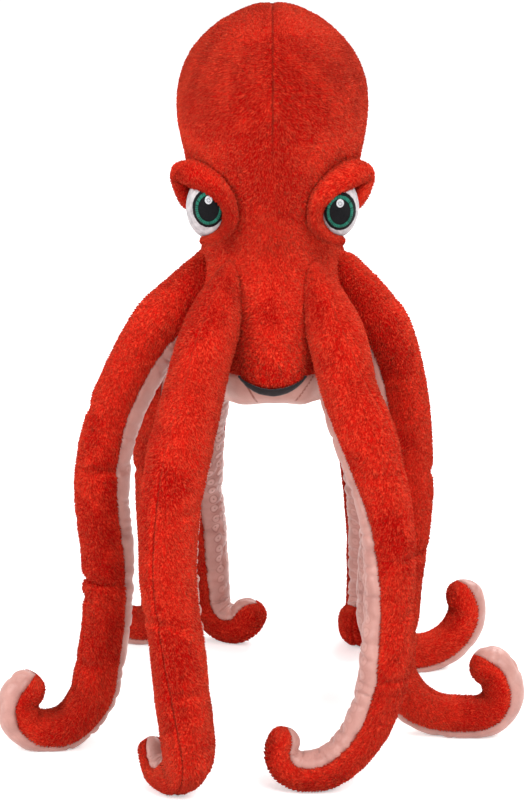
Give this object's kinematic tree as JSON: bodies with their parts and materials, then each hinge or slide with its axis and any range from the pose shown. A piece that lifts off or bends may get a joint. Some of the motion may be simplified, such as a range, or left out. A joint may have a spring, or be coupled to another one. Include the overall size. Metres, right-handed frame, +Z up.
{
  "type": "plush octopus",
  "caption": "Plush octopus with a tall stuffed head, embroidered eyes under soft brows, and posable arms of red pile cloth with pale undersides, on which it stands.",
  "frame": {"origin": "on the floor, under the middle of the footprint", "axes": "+Z up, the face looks along -Y, +X towards the viewer's right when facing it"},
  "size_m": [0.286, 0.2806, 0.4],
  "materials": {
    "red_plush": "short dense pile",
    "pale_satin": "smooth satin weave",
    "white_stuffing": "loose fibre",
    "black_felt": "matte felt",
    "white_cloth": "smooth weave",
    "black_thread": "embroidery thread",
    "green_thread": "embroidery thread",
    "white_thread": "embroidery thread",
    "coated_wire": "cloth-covered wire",
    "hub_plastic": "plain"
  },
  "bodies": {
    "trunk": {"body_skin": "red_plush", "belly": "pale_satin", "body_filling": "white_stuffing", "armature_hub": "hub_plastic", "mouth": "black_felt"},
    "head": {"mantle_left": "red_plush", "mantle_right": "red_plush", "head_filling": "white_stuffing", "left_eye_ball": "white_cloth", "left_iris_outline": "black_thread", "left_iris_ring": "green_thread", "left_eye_glint": "white_thread", "left_brow": "red_plush", "right_eye_ball": "white_cloth", "right_iris_outline": "black_thread", "right_iris_ring": "green_thread", "right_eye_glint": "white_thread", "right_brow": "red_plush"},
    "front_left_arm": {"front_left_arm_skin_left": "red_plush", "front_left_arm_underside": "pale_satin", "front_left_arm_skin_right": "red_plush", "front_left_arm_filling": "white_stuffing", "front_left_arm_wire": "coated_wire"},
    "front_right_arm": {"front_right_arm_skin_left": "red_plush", "front_right_arm_underside": "pale_satin", "front_right_arm_skin_right": "red_plush", "front_right_arm_filling": "white_stuffing", "front_right_arm_wire": "coated_wire"},
    "left_arm": {"left_arm_skin_left": "red_plush", "left_arm_underside": "pale_satin", "left_arm_skin_right": "red_plush", "left_arm_filling": "white_stuffing", "left_arm_wire": "coated_wire"},
    "right_arm": {"right_arm_skin_left": "red_plush", "right_arm_underside": "pale_satin", "right_arm_skin_right": "red_plush", "right_arm_filling": "white_stuffing", "right_arm_wire": "coated_wire"},
    "rear_left_arm": {"rear_left_arm_skin_left": "red_plush", "rear_left_arm_underside": "pale_satin", "rear_left_arm_skin_right": "red_plush", "rear_left_arm_filling": "white_stuffing", "rear_left_arm_wire": "coated_wire"},
    "rear_right_arm": {"rear_right_arm_skin_left": "red_plush", "rear_right_arm_underside": "pale_satin", "rear_right_arm_skin_right": "red_plush", "rear_right_arm_filling": "white_stuffing", "rear_right_arm_wire": "coated_wire"},
    "back_left_arm": {"back_left_arm_skin_left": "red_plush", "back_left_arm_underside": "pale_satin", "back_left_arm_skin_right": "red_plush", "back_left_arm_filling": "white_stuffing", "back_left_arm_wire": "coated_wire"},
    "back_right_arm": {"back_right_arm_skin_left": "red_plush", "back_right_arm_underside": "pale_satin", "back_right_arm_skin_right": "red_plush", "back_right_arm_filling": "white_stuffing", "back_right_arm_wire": "coated_wire"}
  },
  "joints": [
    {"name": "neck_nod", "type": "hinge", "parent": "trunk", "child": "head", "pos_m": [0.00602, -0.01228, 0.285], "axis": [1, 0, 0], "range_deg": [-12, 12]},
    {"name": "front_left_shoulder", "type": "hinge", "parent": "trunk", "child": "front_left_arm", "pos_m": [-0.0226, -0.05807, 0.2355], "axis": [-0.848, 0.5299, 0], "range_deg": [-5, 40]},
    {"name": "front_right_shoulder", "type": "hinge", "parent": "trunk", "child": "front_right_arm", "pos_m": [0.03463, -0.05807, 0.2355], "axis": [-0.848, -0.5299, 0], "range_deg": [-5, 40]},
    {"name": "left_shoulder", "type": "hinge", "parent": "trunk", "child": "left_arm", "pos_m": [-0.04638, -0.02534, 0.2355], "axis": [-0.2419, 0.9703, 0], "range_deg": [-5, 40]},
    {"name": "right_shoulder", "type": "hinge", "parent": "trunk", "child": "right_arm", "pos_m": [0.05842, -0.02534, 0.2355], "axis": [-0.2419, -0.9703, 0], "range_deg": [-5, 40]},
    {"name": "rear_left_shoulder", "type": "hinge", "parent": "trunk", "child": "rear_left_arm", "pos_m": [-0.04166, 0.01308, 0.2355], "axis": [0.4695, 0.8829, 0], "range_deg": [-5, 40]},
    {"name": "rear_right_shoulder", "type": "hinge", "parent": "trunk", "child": "rear_right_arm", "pos_m": [0.0537, 0.01308, 0.2355], "axis": [0.4695, -0.8829, 0], "range_deg": [-5, 40]},
    {"name": "back_left_shoulder", "type": "hinge", "parent": "trunk", "child": "back_left_arm", "pos_m": [-0.01333, 0.03814, 0.2355], "axis": [0.9336, 0.3584, 0], "range_deg": [-5, 40]},
    {"name": "back_right_shoulder", "type": "hinge", "parent": "trunk", "child": "back_right_arm", "pos_m": [0.02537, 0.03814, 0.2355], "axis": [0.9336, -0.3584, 0], "range_deg": [-5, 40]}
  ]
}
